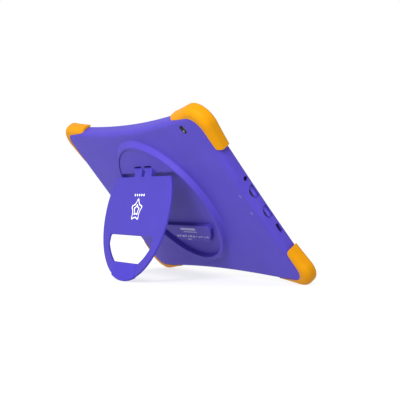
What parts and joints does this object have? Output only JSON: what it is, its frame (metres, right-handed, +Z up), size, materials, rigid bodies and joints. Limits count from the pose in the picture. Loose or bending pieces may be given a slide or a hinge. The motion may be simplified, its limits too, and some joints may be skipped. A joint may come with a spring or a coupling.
{
  "type": "kids toy tablet",
  "caption": "Children's tablet in a bumper case with corner guards, standing on a round fold-out kickstand with a hand hole; side keys and sockets on one edge.",
  "frame": {"origin": "middle of the standing footprint, on the surface that the lower corner guards and the kickstand's foot rest on", "axes": "+Z up, +X along the long edges, away from the side with the sockets; the screen faces -Y and up, and the kickstand is on the +Y side"},
  "size_m": [0.2778, 0.124, 0.1519],
  "materials": {
    "case_purple": "matt",
    "guard_orange": "satin",
    "stand_purple": "satin",
    "tray_purple": "satin",
    "foot_purple": "matt",
    "key_purple": "satin",
    "steel": "polished",
    "shell_black": "satin",
    "frame_grey": "satin",
    "cover_glass": "polished",
    "window_glass": "polished",
    "adhesive_black": "matt",
    "panel_dark": "satin",
    "backlight_white": "matt",
    "flex_amber": "satin",
    "battery_foil": "satin",
    "board_green": "satin",
    "shield_tin": "satin",
    "module_black": "matt"
  },
  "bodies": {
    "tablet": {"bumper_case": "case_purple", "corner_guard_top_left": "guard_orange", "corner_guard_top_right": "guard_orange", "corner_guard_bottom_left": "guard_orange", "corner_guard_bottom_right": "guard_orange", "kickstand_tray": "tray_purple", "hinge_pin": "steel", "tablet_rear_cover": "shell_black", "front_frame": "frame_grey", "housing_screws": "steel", "cover_glass": "cover_glass", "glass_adhesive": "adhesive_black", "lcd_panel": "panel_dark", "backlight_tray": "backlight_white", "display_flex": "flex_amber", "battery_pack": "battery_foil", "battery_flex": "flex_amber", "main_board": "board_green", "shield_cans": "shield_tin", "memory_card_socket": "shield_tin", "microphone": "shield_tin", "usb_c_socket": "shield_tin", "audio_jack": "module_black", "side_key_board": "board_green", "key_switches": "module_black", "loudspeaker_left": "module_black", "loudspeaker_right": "module_black", "rear_camera_module": "module_black", "camera_window": "window_glass", "front_camera_module": "module_black", "wifi_antenna": "flex_amber"},
    "kickstand": {"kickstand_plate": "stand_purple", "kickstand_foot": "foot_purple"},
    "power_key": {"power_key": "key_purple"},
    "volume_key": {"volume_key": "key_purple"}
  },
  "joints": [
    {"name": "kickstand_hinge", "type": "hinge", "parent": "tablet", "child": "kickstand", "pos_m": [0, 0.03537, 0.10135], "axis": [1, 0, 0], "range_deg": [-52, 0]},
    {"name": "power_key_press", "type": "slide", "parent": "tablet", "child": "power_key", "axis": [1, 0, 0], "range_m": [0, 0.0004], "stiffness_N_per_m": 2500},
    {"name": "volume_key_rock", "type": "hinge", "parent": "tablet", "child": "volume_key", "pos_m": [-0.1262, -0.01072, 0.06393], "axis": [0, 0.7817, -0.6236], "range_deg": [-2.5, 2.5], "stiffness_Nm_per_rad": 0.2}
  ]
}
